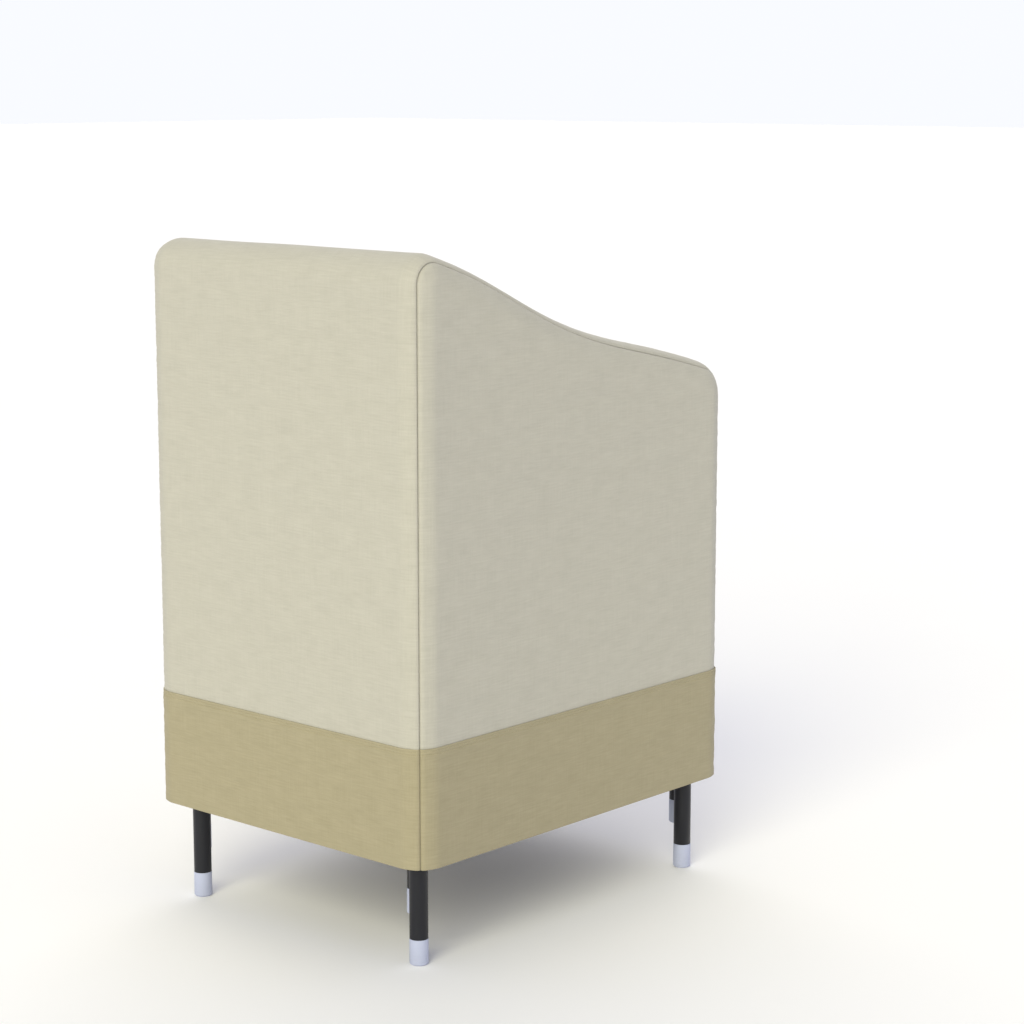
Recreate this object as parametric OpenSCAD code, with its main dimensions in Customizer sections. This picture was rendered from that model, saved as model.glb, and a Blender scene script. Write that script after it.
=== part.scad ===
// Two stacked sling armchairs under a fitted two-tone weather cover.
// Millimetres, +Z up, front towards -Y. The origin is on the floor, under the middle of the whole.

/* [Cover] */
// Width of the cover over its beige sides
cover_w = 647; // [640:1:660]
// Depth of the cover from its back face to its front face
cover_d = 798; // [792:1:810]
// Height of the hem above the floor
hem_z = 172; // [150:1:190]
// Height of the contrasting hem band
band_h = 201; // [160:1:240]
// How far the band laps over the upper cloth
band_lap = 12; // [8:1:20]
// Thickness of the band cloth
band_t = 1.8; // [1:0.1:3]
// Thickness of the upper cloth with its coating
cloth_t = 2.5; // [1.5:0.1:3]
// Radius of the upright corners and of the long top edges
edge_r = 45; // [40:1:46]
// Depth of the doubled cloth inside the hem
hem_fold = 25; // [15:1:40]

/* [Side outline of the cover] */
// Radius of the outline where the back turns over to the top
crown_r = 48; // [47:1:60]
// Radius of the outline where the top turns down to the front
brow_r = 65; // [50:1:80]
// Height above the hem that the top starts from
top_h = 955.1; // [930:0.1:980]
// Steady fall of the top for each millimetre forwards
top_fall = 0.1687; // [0.15:0.0001:0.19]
// Half the height of the step between the backs and the arms
step_h = 55.4; // [40:0.1:65]
// Distance of the middle of the step from the back face
step_mid = 246.5; // [220:0.5:280]
// Length over which the step eases
step_len = 185.2; // [150:0.1:220]
// Extra droop of the front, in millimetres for each square millimetre
droop = 0.0002623; // [0:0.0000001:0.0004]
// Distance from the back face where the droop begins
droop_start = 550; // [500:1:600]

/* [Stack] */
// Sideways place of the lower chair's middle
chair_x = -13.5; // [-16:0.5:-10]
// Front-to-back place of the lower chair's middle
chair_y = 9.5; // [6:0.5:12]
// Sideways step from the lower chair to the upper one
stack_x = 37; // [35:0.5:38]
// Forward step from the lower chair to the upper one
stack_y = 33; // [32:0.5:34]
// Upward step from the lower chair to the upper one
stack_z = 70; // [68:0.5:74]

/* [Chair frame] */
// Half the distance between the left and right legs
leg_x = 265.5; // [262:0.5:268]
// Half the distance between the front and rear legs
leg_y = 348.5; // [345:0.5:350]
// Radius of the leg, post and arm tubes
leg_r = 15.5; // [14:0.5:15.5]
// Wall of every tube
wall = 1.5; // [1:0.1:2]
// Height of the arm tube's middle
arm_z = 817.5; // [790:0.5:825]
// Radius of the bend from front leg to arm
arm_bend_r = 90; // [70:1:120]
// How far behind the chair's middle the arm ends
arm_end_y = 28; // [0:1:30]
// Height of the top of the back posts
post_top = 1058; // [1050:1:1060]
// Radius of the front rail, the side rails and the back rail
rail_r = 12; // [10:0.5:12]
// Height of the front and side rails
rail_z = 575; // [540:1:600]
// Height of the footrest
footrest_z = 300; // [250:1:400]
// Radius of the footrest
footrest_r = 10; // [8:0.5:11]

/* [Sling] */
// Half the distance between the two sling rails
sling_x = 192; // [185:0.5:196]
// Radius of the sling rails
sling_r = 11; // [9:0.5:11]
// Fall of the seat towards the back, in degrees
seat_tilt = 3; // [2:0.5:5]
// Lean of the back from upright, in degrees
recline = 19.5; // [18.5:0.5:22]
// Place of the cross tube under the rear of the seat
cross_y = 85; // [80:1:88]
// Radius of that cross tube
cross_r = 11; // [9:0.5:11]
// Place where the sling rail starts to bend up into the back
bend_y = 100; // [95:1:110]
// Radius of that bend
seat_bend_r = 80; // [60:1:100]
// Thickness of the woven sling
sling_t = 1.5; // [1:0.1:2]

/* [Small parts] */
// Height of the pale foot caps
cap_h = 44; // [35:1:55]
// Width of the arm pads
pad_w = 37; // [33:0.5:37]
// Height of the arm pads over the arm tube
pad_h = 11; // [8:0.5:12]
// Radius of the soft stops under the side rails
stop_r = 10; // [8:0.5:12]
// Width of the black webbing
webbing_w = 25; // [20:1:30]
// Thickness of the webbing
webbing_t = 1.5; // [1:0.1:2]
// Height of the webbing's middle above the hem
webbing_z = 52; // [40:1:90]
// Thickness of the buckle
buckle_t = 9; // [7:0.5:10]

/* [Hidden] */
$fn = 48;
gap = 0.3;
joint_gap = 0.1;
half_w = cover_w / 2;
half_d = cover_d / 2;
band_top = hem_z + band_h;
upper_z = band_top - band_lap;
band_out = joint_gap + band_t;
strap_out = band_out + webbing_t;
strap_gap = 0.2;
buckle_out = strap_out + strap_gap + buckle_t;
set_back = (buckle_out - band_out) / 2;
stem_r = leg_r - wall - gap;
seam_a = 45;
arc_steps = 10;
curve_steps = 26;
round_steps = 4;
bend_steps = 8;
tube_sides = 24;
fine_sides = 96;
over = 1;

// Side outline of the cover: height of the top at a distance v from the back face.
function tanh(x) = (exp(2 * x) - 1) / (exp(2 * x) + 1);
function past(v) = max(0, v - droop_start);
function top_z(v) = hem_z + top_h - top_fall * v
    - step_h * tanh((v - step_mid) / step_len) - droop * past(v) ^ 2;
function fall_a(v) = atan(top_fall
    + step_h / step_len * (1 - tanh((v - step_mid) / step_len) ^ 2) + 2 * droop * past(v));
// Where a corner arc of radius r, centred at v = c, runs smoothly into the top.
function meet(c, r, n = 8) = n == 0 ? c : c + r * sin(fall_a(meet(c, r, n - 1)));
crown_v = meet(crown_r, crown_r);
brow_v = meet(cover_d - brow_r, brow_r);
crown_z = top_z(crown_v) - crown_r * cos(fall_a(crown_v));
brow_z = top_z(brow_v) - brow_r * cos(fall_a(brow_v));
function arc(v, z, r, a0, a1) = [for (i = [0:arc_steps])
    let (a = a0 + (a1 - a0) * i / arc_steps) [v + r * cos(a), z + r * sin(a), a]];
// Stations along the outline, back to front: distance, height and angle of the outward normal.
function outline(bottom) = concat(
    [[0, bottom, 180]],
    arc(crown_r, crown_z, crown_r, 180, 90 - fall_a(crown_v)),
    [for (i = [1:curve_steps - 1])
        let (v = crown_v + (brow_v - crown_v) * i / curve_steps) [v, top_z(v), 90 - fall_a(v)]],
    arc(cover_d - brow_r, brow_z, brow_r, 90 - fall_a(brow_v), 0),
    [[cover_d, bottom, 0]]);
// A point of the rounded edge: r from its middle line, a degrees round from the top to the side.
function edge_point(s, r, a, side, shift = 0) =
    let (in = edge_r - r * cos(a) + shift * sin(a))
    [side * (half_w - edge_r + r * sin(a) + shift * cos(a)),
     half_d - s[0] + in * cos(s[2]), s[1] - in * sin(s[2])];

// Faces of a grid of points, rows x columns, numbered from start.
function grid(rows, cols, start, flip) = [for (i = [0:rows - 2], j = [0:cols - 2], k = [0, 1])
    let (p = start + i * cols + j,
         t = k == 0 ? [p, p + 1, p + cols + 1] : [p, p + cols + 1, p + cols])
    flip ? [t[2], t[1], t[0]] : t];
// Faces of a strip between two equal lists of point numbers.
function strip(a, b) = [for (i = [0:len(a) - 2], k = [0, 1])
    k == 0 ? [a[i], a[i + 1], b[i + 1]] : [a[i], b[i + 1], b[i]]];
function ends(rows, cols, start) = concat(
    [for (j = [0:cols - 1]) start + j],
    [for (i = [1:rows - 1]) start + i * cols + cols - 1],
    [for (j = [1:cols - 1]) start + rows * cols - 1 - j],
    [for (i = [1:rows - 1]) start + (rows - 1 - i) * cols]);

// A cloth panel of even thickness between an outer and an inner grid of points.
module cloth(outer, inner) {
    rows = len(outer);
    cols = len(outer[0]);
    n = rows * cols;
    polyhedron(
        points = [for (g = [outer, inner], row = g, p = row) p],
        faces = concat(grid(rows, cols, 0, false), grid(rows, cols, n, true),
            strip(ends(rows, cols, n), ends(rows, cols, 0))));
}

// A round-cornered plate outline of the cover, grown by g all round.
module plan(g) {
    square([cover_w - 2 * edge_r, cover_d + 2 * g], center = true);
    square([cover_w + 2 * g, cover_d - 2 * edge_r], center = true);
    for (x = [-1, 1], y = [-1, 1])
        translate([x * (half_w - edge_r), y * (half_d - edge_r)])
            circle(r = edge_r + g, $fn = fine_sides);
}

// Stations [place, heading] of a path of steps [length, bend radius, bend angle] in the X-Z plane.
// The path starts up +Z and bends towards +X.
function along(a) = [sin(a), cos(a)];
function aside(a) = [cos(a), -sin(a)];
function stations(steps, i = 0, p = [0, 0], a = 0) = i == len(steps) ? [] : let (
    r = steps[i][1],
    turn = steps[i][2],
    q = p + steps[i][0] * along(a),
    c = q + r * aside(a))
    concat(i == 0 ? [[p, a]] : [], [[q, a]],
        turn == 0 ? [] : [for (k = [1:bend_steps])
            let (b = a + turn * k / bend_steps) [c - r * aside(b), b]],
        stations(steps, i + 1, turn == 0 ? q : c - r * aside(a + turn), a + turn));

// Points of one ring of radius r at a station.
function ring(s, r) = [for (k = [0:tube_sides - 1]) let (t = 360 * k / tube_sides,
    p = s[0] + r * cos(t) * aside(s[1])) [p[0], r * sin(t), p[1]]];
function around(rows, start, flip) = [for (i = [0:rows - 2], k = [0:tube_sides - 1], h = [0, 1])
    let (p = start + i * tube_sides + k, q = start + i * tube_sides + (k + 1) % tube_sides,
         t = h == 0 ? [p, p + tube_sides, q + tube_sides] : [p, q + tube_sides, q])
    flip ? [t[2], t[1], t[0]] : t];
function rim(a, b) = [for (k = [0:tube_sides - 1], h = [0, 1]) let (m = (k + 1) % tube_sides)
    h == 0 ? [a + k, a + m, b + m] : [a + k, b + m, b + k]];

// A bent tube, open at both ends, of outer radius r.
module bent_tube(steps, r) {
    path = stations(steps);
    rows = len(path);
    n = rows * tube_sides;
    last = (rows - 1) * tube_sides;
    polyhedron(
        points = [for (less = [0, wall], s = path, p = ring(s, r - less)) p],
        faces = concat(around(rows, 0, false), around(rows, n, true),
            rim(0, n), rim(n + last, last)));
}

// A tube along the line from a to b, which differ in one direction only.
module rod(a, b, r) {
    d = b - a;
    translate(a) rotate(d[0] != 0 ? [0, 90, 0] : d[1] != 0 ? [-90, 0, 0] : [0, 0, 0])
        cylinder(r = r, h = norm(d));
}

module at_sides() for (x = [-1, 1]) translate([x * leg_x, 0, 0]) children();

// Middle of the sling rail's height at a place y on the seat.
front_z = rail_z + rail_r + sling_r;
function seat_z(y) = front_z - (y + leg_y) * tan(seat_tilt);
cross_z = seat_z(cross_y) - (cross_r + sling_r) / cos(seat_tilt);
seat_len = (bend_y + leg_y + rail_r) / cos(seat_tilt);
start_y = -leg_y - rail_r;
bend_end_y = bend_y + seat_bend_r * (sin(seat_tilt) + cos(recline));
bend_end_z = seat_z(bend_y) + seat_bend_r * (cos(seat_tilt) - sin(recline));
// Height of the back rail, which touches the back of the leaning sling rails.
back_z = bend_end_z
    + ((leg_y - bend_end_y) * cos(recline) - rail_r - sling_r) / sin(recline);
back_len = (back_z + rail_r - bend_end_z) / cos(recline);
sling_steps = [
    [seat_len, seat_bend_r, 90 + seat_tilt - recline],
    [back_len, 0, 0]
];
leg_len = arm_z - arm_bend_r - cap_h;
arm_len = arm_end_y + leg_y - arm_bend_r;

// Places its child where the sling path starts, heading back along the seat.
module sling_start(x) translate([x, start_y, seat_z(start_y)])
    rotate([-seat_tilt, 0, 0]) rotate([0, -90, -90]) children();

// ---- Chair: each module draws one chair's part about the middle of its own four legs ----

module front_leg_arm(side) color("#32323a")
    translate([side * leg_x, -leg_y, cap_h]) rotate([0, 0, 90])
        bent_tube([[leg_len, arm_bend_r, 90], [arm_len, 0, 0]], leg_r);

module back_posts() color("#32323a") at_sides() translate([0, leg_y, cap_h]) difference() {
    cylinder(r = leg_r, h = post_top - cap_h);
    translate([0, 0, -over]) cylinder(r = leg_r - wall, h = post_top);
}

module legs_solid() at_sides() for (y = [-1, 1])
    translate([0, y * leg_y, 0]) cylinder(r = leg_r, h = post_top);

// Front rail, two side rails and the cross tube under the seat, welded into one frame.
module seat_frame() color("#32323a") difference() {
    seat_frame_rods(0);
    seat_frame_rods(wall);
    legs_solid();
}
module seat_frame_rods(less) {
    at_sides() rod([0, -leg_y, rail_z], [0, leg_y, rail_z], rail_r - less);
    rod([-leg_x, -leg_y, rail_z], [leg_x, -leg_y, rail_z], rail_r - less);
    rod([-leg_x, cross_y, cross_z], [leg_x, cross_y, cross_z], cross_r - less);
}

module back_rail() color("#32323a") difference() {
    rod([-leg_x, leg_y, back_z], [leg_x, leg_y, back_z], rail_r);
    rod([-leg_x - over, leg_y, back_z], [leg_x + over, leg_y, back_z], rail_r - wall);
    legs_solid();
}

module footrest() color("#32323a") difference() {
    rod([-leg_x, -leg_y, footrest_z], [leg_x, -leg_y, footrest_z], footrest_r);
    rod([-leg_x - over, -leg_y, footrest_z], [leg_x + over, -leg_y, footrest_z],
        footrest_r - wall);
    legs_solid();
}

module sling_rail(side) color("#3a3a42")
    sling_start(side * sling_x) bent_tube(sling_steps, sling_r);

// The woven sheet stretched between the rails along their whole path.
sling_half = sling_x - sling_r - gap;
function sling_edge(s, off) = let (p = s[0] + off * aside(s[1]))
    [[p[0], -sling_half, p[1]], [p[0], sling_half, p[1]]];
module sling() color("#4a4a4e") sling_start(0)
    cloth([for (s = stations(sling_steps)) sling_edge(s, sling_t / 2)],
        [for (s = stations(sling_steps)) sling_edge(s, -sling_t / 2)]);

// Crowned pads that sit over the straight of each arm tube.
pad_short = 4;
pad_skirt = 2;
module arm_pads() color("#26262a") at_sides()
    translate([0, -leg_y + arm_bend_r, arm_z]) rotate([-90, 0, 0]) rotate([0, 0, 180])
        linear_extrude(height = arm_len - pad_short) difference() {
            intersection() {
                translate([0, leg_r + pad_h - pad_w]) circle(r = pad_w, $fn = fine_sides);
                translate([-pad_w / 2, pad_skirt]) square([pad_w, leg_r + pad_h]);
            }
            circle(r = leg_r + joint_gap);
        }

// Pale plug-in glides: the outside is all but flush with the tube, the stem goes up into it.
cap_r = leg_r + 0.3;
cap_bevel = 2.3;
cap_stem = 22;
module foot_caps() color("#c6cbe0") at_sides() for (y = [-1, 1]) translate([0, y * leg_y, 0]) {
    rotate_extrude() polygon([
        [0, 0], [cap_r - cap_bevel, 0], [cap_r, cap_bevel], [cap_r, cap_h],
        [stem_r, cap_h], [stem_r, cap_h + cap_stem],
        [0, cap_h + cap_stem]
    ]);
}

// Black plugs that close the tops of the back posts and the ends of the arm tubes.
plug_rim = 2;
plug_crown = 3;
plug_dome_r = 2 * leg_r;
plug_stem = 14;
module tube_plugs() color("#1c1c20") at_sides() {
    translate([0, leg_y, post_top]) plug();
    translate([0, arm_end_y, arm_z]) rotate([-90, 0, 0]) plug();
}
module plug() {
    cylinder(r = leg_r, h = plug_rim);
    translate([0, 0, plug_rim]) intersection() {
        translate([0, 0, plug_crown - plug_dome_r]) sphere(r = plug_dome_r);
        cylinder(r = leg_r - 1, h = plug_crown + 1);
    }
    translate([0, 0, -plug_stem]) cylinder(r = stem_r, h = plug_stem + plug_rim / 4);
}

// Soft stops under the front of each side rail; one rests on the front rail of a chair below.
stop_y = -leg_y + stack_y;
module stack_stops() color("#202024") at_sides() translate([0, stop_y, 0]) difference() {
    translate([0, 0, rail_z - stack_z + rail_r + gap])
        cylinder(r = stop_r, h = stack_z - rail_r - gap);
    rod([0, -2 * stop_r, rail_z], [0, 2 * stop_r, rail_z], rail_r + joint_gap);
}

// Soft pads on the sling rails that carry the cross tube of a chair above.
stack_pad_w = 18;
stack_pad_l = 28;
pad_y = cross_y - stack_y;
pad_top = cross_z + stack_z - cross_r - gap;
module stack_pads() color("#202024") for (x = [-1, 1]) difference() {
    translate([x * sling_x - stack_pad_w / 2, pad_y - stack_pad_l / 2, seat_z(pad_y)])
        cube([stack_pad_w, stack_pad_l, pad_top - seat_z(pad_y)]);
    sling_start(x * sling_x) cylinder(r = sling_r + joint_gap, h = seat_len);
}

// ---- Cover ----

// One long panel up the back, over the top and down the front, to the seam at each edge.
function centre_row(s, depth) = concat(
    [for (j = [round_steps:-1:0])
        edge_point(s, edge_r - depth, seam_a * j / round_steps, -1)],
    [for (j = [0:round_steps]) edge_point(s, edge_r - depth, seam_a * j / round_steps, 1)]);
module cover_centre_panel() color("#dcd8c4")
    cloth([for (s = outline(upper_z)) centre_row(s, 0)],
        [for (s = outline(upper_z)) centre_row(s, cloth_t)]);

// A side panel: flat, with its edge turned round to the seam.
module cover_side(side) color("#bdbba8") {
    stations = outline(upper_z);
    rows = len(stations);
    cols = round_steps + 1;
    n = rows * cols;
    points = [for (depth = [0, cloth_t], s = stations, j = [0:round_steps])
        edge_point(s, edge_r - depth, seam_a + (90 - seam_a) * j / round_steps, 1)];
    flat_outer = [for (i = [rows - 1:-1:0]) i * cols + cols - 1];
    flat_inner = [for (i = [0:rows - 1]) n + i * cols + cols - 1];
    foot = concat([for (j = [0:cols - 1]) j], [for (j = [cols - 1:-1:0]) (rows - 1) * cols + j]);
    seam = [for (i = [0:rows - 1]) i * cols];
    mirror([side < 0 ? 1 : 0, 0, 0]) polyhedron(points = points, faces = concat(
        grid(rows, cols, 0, false), grid(rows, cols, n, true), [flat_outer], [flat_inner],
        strip([for (p = foot) p + n], foot),
        strip(seam, [for (p = seam) p + n])));
}

// A narrow tape sewn inside each long seam.
tape_half = 0.8;
tape_deep = 4;
module seam_binding(side) color("#8f8b74") {
    stations = outline(upper_z);
    r_out = edge_r - cloth_t - joint_gap;
    r_in = r_out - tape_deep;
    corners = [[r_out, -tape_half], [r_out, tape_half], [r_in, tape_half], [r_in, -tape_half]];
    rows = len(stations);
    points = [for (s = stations, c = corners) edge_point(s, c[0], seam_a, 1, c[1])];
    mirror([side < 0 ? 1 : 0, 0, 0]) polyhedron(points = points, faces = concat(
        [[3, 2, 1, 0], [for (k = [0:3]) (rows - 1) * 4 + k]],
        [for (i = [0:rows - 2], k = [0:3], h = [0, 1])
            let (a = i * 4 + k, b = i * 4 + (k + 1) % 4)
            h == 0 ? [a, b, b + 4] : [a, b + 4, a + 4]]));
}

// One of the four hem band panels: 0 back, 1 left, 2 front, 3 right, mitred at the corner seams.
mitre_past = 60;
module hem_band(quarter) color("#b5ab88") {
    far = edge_r + mitre_past;
    along = quarter % 2 == 0 ? half_w - edge_r : half_d - edge_r;
    out = quarter % 2 == 0 ? half_d - edge_r : half_w - edge_r;
    translate([0, 0, hem_z]) linear_extrude(height = band_h) intersection() {
        difference() {
            plan(band_out);
            plan(joint_gap);
        }
        rotate(90 * quarter) polygon([
            [-along, out], [along, out], [along + far, out + far], [-along - far, out + far]
        ]);
    }
}

// The turned-in cloth that doubles the hem.
module hem_fold_ring() color("#a49b7a") translate([0, 0, hem_z])
    linear_extrude(height = hem_fold) difference() {
        plan(0);
        plan(-band_t);
    }

// ---- Webbing and buckle across the front of the band ----
strap_y = -half_d - band_out;
strap_z = hem_z + webbing_z;
strap_from = 22;
strap_to = 215;
module webbing(side) color("#18181a")
    translate([side < 0 ? -strap_to : strap_from, strap_y - webbing_t, strap_z - webbing_w / 2])
        cube([strap_to - strap_from, webbing_t, webbing_w]);

keeper_x = 95;
keeper_w = 12;
keeper_t = 2;
keeper_rim = 3;
module webbing_keepers() color("#141416") for (x = [-1, 1])
    translate([x * keeper_x - keeper_w / 2, strap_y - webbing_t - keeper_t,
        strap_z - webbing_w / 2 - keeper_rim]) difference() {
            cube([keeper_w, webbing_t + keeper_t, webbing_w + 2 * keeper_rim]);
            translate([-over, keeper_t - joint_gap, keeper_rim - joint_gap])
                cube([keeper_w + 2 * over, webbing_t + keeper_t, webbing_w + 2 * joint_gap]);
        }

// A flat block with rounded upright corners, seen from the front.
module front_block(x0, x1, h, y0, t, r) {
    translate([0, y0, strap_z]) rotate([90, 0, 0]) linear_extrude(height = t) {
        translate([x0 + r, -h / 2]) square([x1 - x0 - 2 * r, h]);
        translate([x0, -h / 2 + r]) square([x1 - x0, h - 2 * r]);
        for (x = [x0 + r, x1 - r], z = [-h / 2 + r, h / 2 - r]) translate([x, z]) circle(r = r);
    }
}

// The halves of the buckle meet at split_x. The socket's pocket takes the plug's guide and two
// latches, and its side windows let the latches spring out.
buckle_y = strap_y - webbing_t - strap_gap;
split_x = 6;
buckle_r = 4;
socket_l = 42;
socket_h = 36;
socket_wall = 2;
pocket_l = 26;
pocket_h = 26;
window_l = 18;
window_h = 8;
window_z = 15.5;
plug_l = 22;
plug_h = 34;
plug_gap = 0.5;
prong_in = 2.5;
prong_root = 3;
slot_w = 4;
slot_h = 26;
socket_slot = 5 - socket_l;
plug_slot = 12;
module socket_hollow(length, h, z)
    translate([split_x - length, buckle_y - buckle_t + socket_wall, strap_z + z - h / 2])
        cube([length + over, buckle_t - 2 * socket_wall, h]);
module webbing_slot(x) translate([split_x + x, buckle_y - buckle_t - over, strap_z - slot_h / 2])
    cube([slot_w, buckle_t + 2 * over, slot_h]);
module prong(length, h, z, r) translate([0, 0, z])
    front_block(split_x - length, split_x + prong_root, h, buckle_y - prong_in,
        buckle_t - 2 * prong_in, r);

module buckle_socket() color("#101012") difference() {
    front_block(split_x - socket_l, split_x, socket_h, buckle_y, buckle_t, buckle_r);
    socket_hollow(pocket_l, pocket_h, 0);
    for (z = [-1, 1]) socket_hollow(window_l, window_h, z * window_z);
    webbing_slot(socket_slot);
}

module buckle_plug() color("#101012") {
    difference() {
        front_block(split_x + plug_gap, split_x + plug_l, plug_h, buckle_y, buckle_t, buckle_r);
        webbing_slot(plug_slot);
    }
    prong(22, 7, 0, 3);
    for (z = [-1, 1]) prong(20, 4, z * 10.5, 1.5);
}

module placed() translate([0, set_back, 0]) children();
module lower() placed() translate([chair_x, chair_y, 0]) children();
module upper() placed() translate([chair_x + stack_x, chair_y - stack_y, stack_z]) children();

lower() front_leg_arm(-1);  // lower_front_leg_arm_left
lower() front_leg_arm(1);  // lower_front_leg_arm_right
lower() back_posts();  // lower_back_posts
lower() seat_frame();  // lower_seat_frame
lower() back_rail();  // lower_back_rail
lower() footrest();  // lower_footrest
lower() sling_rail(-1);  // lower_sling_rail_left
lower() sling_rail(1);  // lower_sling_rail_right
lower() sling();  // lower_sling
lower() arm_pads();  // lower_arm_pads
lower() foot_caps();  // lower_foot_caps
lower() tube_plugs();  // lower_tube_plugs
lower() stack_stops();  // lower_stack_stops
lower() stack_pads();  // lower_stack_pads
upper() front_leg_arm(-1);  // upper_front_leg_arm_left
upper() front_leg_arm(1);  // upper_front_leg_arm_right
upper() back_posts();  // upper_back_posts
upper() seat_frame();  // upper_seat_frame
upper() back_rail();  // upper_back_rail
upper() footrest();  // upper_footrest
upper() sling_rail(-1);  // upper_sling_rail_left
upper() sling_rail(1);  // upper_sling_rail_right
upper() sling();  // upper_sling
upper() arm_pads();  // upper_arm_pads
upper() foot_caps();  // upper_foot_caps
upper() tube_plugs();  // upper_tube_plugs
upper() stack_stops();  // upper_stack_stops
upper() stack_pads();  // upper_stack_pads
placed() cover_centre_panel();
placed() cover_side(-1);  // cover_side_left
placed() cover_side(1);  // cover_side_right
placed() seam_binding(-1);  // seam_binding_left
placed() seam_binding(1);  // seam_binding_right
placed() hem_band(0);  // hem_band_back
placed() hem_band(1);  // hem_band_left
placed() hem_band(2);  // hem_band_front
placed() hem_band(3);  // hem_band_right
placed() hem_fold_ring();  // hem_fold
placed() webbing(-1);  // webbing_left
placed() webbing(1);  // webbing_right
placed() webbing_keepers();
placed() buckle_socket();
placed() buckle_plug();
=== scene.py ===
# Two stacked sling armchairs under a fitted two-tone cloth cover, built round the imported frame.
# Metres, +Z up, front towards -Y.
import math

import bmesh
import bpy
import numpy as np
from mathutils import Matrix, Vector


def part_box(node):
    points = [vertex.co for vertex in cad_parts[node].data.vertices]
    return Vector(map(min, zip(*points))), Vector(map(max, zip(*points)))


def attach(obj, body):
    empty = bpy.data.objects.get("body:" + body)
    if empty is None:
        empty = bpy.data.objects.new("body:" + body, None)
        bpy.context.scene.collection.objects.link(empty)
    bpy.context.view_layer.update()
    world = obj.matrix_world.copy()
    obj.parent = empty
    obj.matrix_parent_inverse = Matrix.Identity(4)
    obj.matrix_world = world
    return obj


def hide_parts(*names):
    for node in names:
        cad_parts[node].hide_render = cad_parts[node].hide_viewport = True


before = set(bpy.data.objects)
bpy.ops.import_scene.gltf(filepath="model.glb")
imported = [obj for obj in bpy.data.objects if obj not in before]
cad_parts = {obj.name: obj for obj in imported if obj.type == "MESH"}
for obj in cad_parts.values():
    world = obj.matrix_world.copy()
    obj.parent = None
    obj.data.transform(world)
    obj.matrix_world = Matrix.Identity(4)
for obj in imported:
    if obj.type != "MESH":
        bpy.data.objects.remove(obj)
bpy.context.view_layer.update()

# ---- Camera ----
# A long lens a little above the top of the cover, looking down at the corner where the back meets
# the left side. It aims beside the object, so that the object stands left of the middle.
VIEW_AZIMUTH = 221.8
VIEW_HEIGHT = 9.8
VIEW_DISTANCE = 4.364
VIEW_AIM = Vector((-0.1583, 0.0, 0.690))


def way_to(azimuth, height):
    """The unit vector towards a camera or lamp that stands at an azimuth, in degrees from straight
    in front of the object round towards +X, and at a height in degrees above level."""
    turn, rise = math.radians(azimuth), math.radians(height)
    return Vector((math.sin(turn) * math.cos(rise), -math.cos(turn) * math.cos(rise),
                   math.sin(rise)))


camera_data = bpy.data.cameras.new("view")
camera_data.sensor_width = 36.0
camera_data.lens = 88.72
camera_data.clip_end = 300.0
camera = bpy.data.objects.new("view", camera_data)
bpy.context.scene.collection.objects.link(camera)
towards_camera = way_to(VIEW_AZIMUTH, VIEW_HEIGHT)
camera.location = VIEW_AIM + VIEW_DISTANCE * towards_camera
camera.rotation_euler = (-towards_camera).to_track_quat("-Z", "Y").to_euler()
bpy.context.scene.camera = camera


# ---- Studio ----
# A wide matt white floor under a pale sky that brightens towards the horizon. The main lamp is
# large, soft and warm, and stands behind the object and a little to its left. A weaker one stands
# in front of it on the right.
def srgb(code):
    """An sRGB hex colour as linear red, green, blue and an alpha of one."""
    parts = [int(code[i:i + 2], 16) / 255 for i in (0, 2, 4)]
    linear = [c / 12.92 if c <= 0.04045 else ((c + 0.055) / 1.055) ** 2.4 for c in parts]
    return (*linear, 1.0)


def node(tree, kind, links=None, values=None, **settings):
    """Adds a node with its settings, its sockets' own values, and its links, which are given as
    {input socket: (node, output socket)}."""
    made = tree.nodes.new(kind)
    for name, value in settings.items():
        setattr(made, name, value)
    for name, value in (values or {}).items():
        made.inputs[name].default_value = value
    for name, (source, output) in (links or {}).items():
        tree.links.new(source.outputs[output], made.inputs[name])
    return made


def new_material(name):
    """An empty node material, and its tree."""
    made = bpy.data.materials.new(name)
    made.use_nodes = True
    made.node_tree.nodes.clear()
    return made, made.node_tree


def matt_white_floor():
    """Painted board: dead flat white, very faintly uneven."""
    made, tree = new_material("matt_white_paint")
    place = node(tree, "ShaderNodeTexCoord")
    cloud = node(tree, "ShaderNodeTexNoise", {"Vector": (place, "Object")}, {"Scale": 1.5})
    tone = node(tree, "ShaderNodeMix", {0: (cloud, "Fac")}, {6: srgb("F7F7F8"), 7: srgb("F9F9FA")},
                data_type="RGBA")
    surface = node(tree, "ShaderNodeBsdfPrincipled", {"Base Color": (tone, 2)}, {
        "Roughness": 0.95, "Specular IOR Level": 0.1})
    node(tree, "ShaderNodeOutputMaterial", {"Surface": (surface, "BSDF")})
    return made


FLOOR_HALF = 60.0
floor_mesh = bpy.data.meshes.new("floor")
floor_mesh.from_pydata(
    [(-FLOOR_HALF, -FLOOR_HALF, 0), (FLOOR_HALF, -FLOOR_HALF, 0),
     (FLOOR_HALF, FLOOR_HALF, 0), (-FLOOR_HALF, FLOOR_HALF, 0)], [], [(0, 1, 2, 3)])
floor = bpy.data.objects.new("floor", floor_mesh)
bpy.context.scene.collection.objects.link(floor)
floor.data.materials.append(matt_white_floor())

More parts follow.
